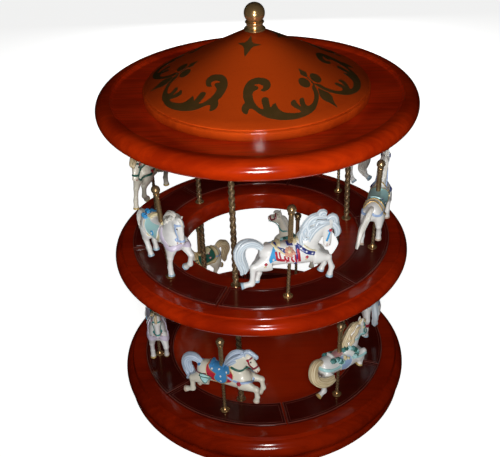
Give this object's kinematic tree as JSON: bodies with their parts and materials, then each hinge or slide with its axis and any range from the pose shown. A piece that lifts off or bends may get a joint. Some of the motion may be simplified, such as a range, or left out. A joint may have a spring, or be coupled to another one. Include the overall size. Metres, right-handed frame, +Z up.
{
  "type": "two-tier tabletop display carousel",
  "caption": "Tabletop display carousel: turned wooden base, ring-shaped middle deck and conical roof on twisted brass pillars, with figurine horses on poles, turning on a foot.",
  "frame": {"origin": "centre of the turntable foot's underside", "axes": "+Z up along the turning axis, -Y towards the front of the picture, +X to its right"},
  "size_m": [0.344, 0.344, 0.4719],
  "materials": {
    "cherry_wood": "gloss lacquer",
    "dark_wood": "gloss lacquer",
    "cone_wood": "satin, with a stencilled scroll border",
    "brass": "antiqued",
    "porcelain": "hand-painted, satin"
  },
  "bodies": {
    "foot": {"turntable_foot": "cherry_wood"},
    "carousel": {"base_disc": "cherry_wood", "mid_deck": "cherry_wood", "roof_board": "cherry_wood", "roof_cone": "cone_wood", "finial": "brass", "base_panel_1": "dark_wood", "base_pole_1": "brass", "base_horse_1": "porcelain", "base_panel_2": "dark_wood", "base_pole_2": "brass", "base_horse_2": "porcelain", "base_panel_3": "dark_wood", "base_pole_3": "brass", "base_horse_3": "porcelain", "base_panel_4": "dark_wood", "base_pole_4": "brass", "base_horse_4": "porcelain", "base_panel_5": "dark_wood", "base_pole_5": "brass", "base_horse_5": "porcelain", "base_panel_6": "dark_wood", "base_pole_6": "brass", "base_horse_6": "porcelain", "base_pillar_1": "brass", "base_pillar_2": "brass", "base_pillar_3": "brass", "mid_panel_1": "dark_wood", "mid_pole_1": "brass", "mid_horse_1": "porcelain", "mid_panel_2": "dark_wood", "mid_pole_2": "brass", "mid_horse_2": "porcelain", "mid_panel_3": "dark_wood", "mid_pole_3": "brass", "mid_horse_3": "porcelain", "mid_panel_4": "dark_wood", "mid_pole_4": "brass", "mid_horse_4": "porcelain", "mid_panel_5": "dark_wood", "mid_pole_5": "brass", "mid_horse_5": "porcelain", "mid_panel_6": "dark_wood", "mid_pole_6": "brass", "mid_horse_6": "porcelain", "mid_pillar_1": "brass", "mid_pillar_2": "brass", "mid_pillar_3": "brass"}
  },
  "joints": [
    {"name": "turntable_spin", "type": "hinge", "parent": "foot", "child": "carousel", "pos_m": [0, 0, 0.0095], "axis": [0, 0, 1], "continuous": true}
  ]
}
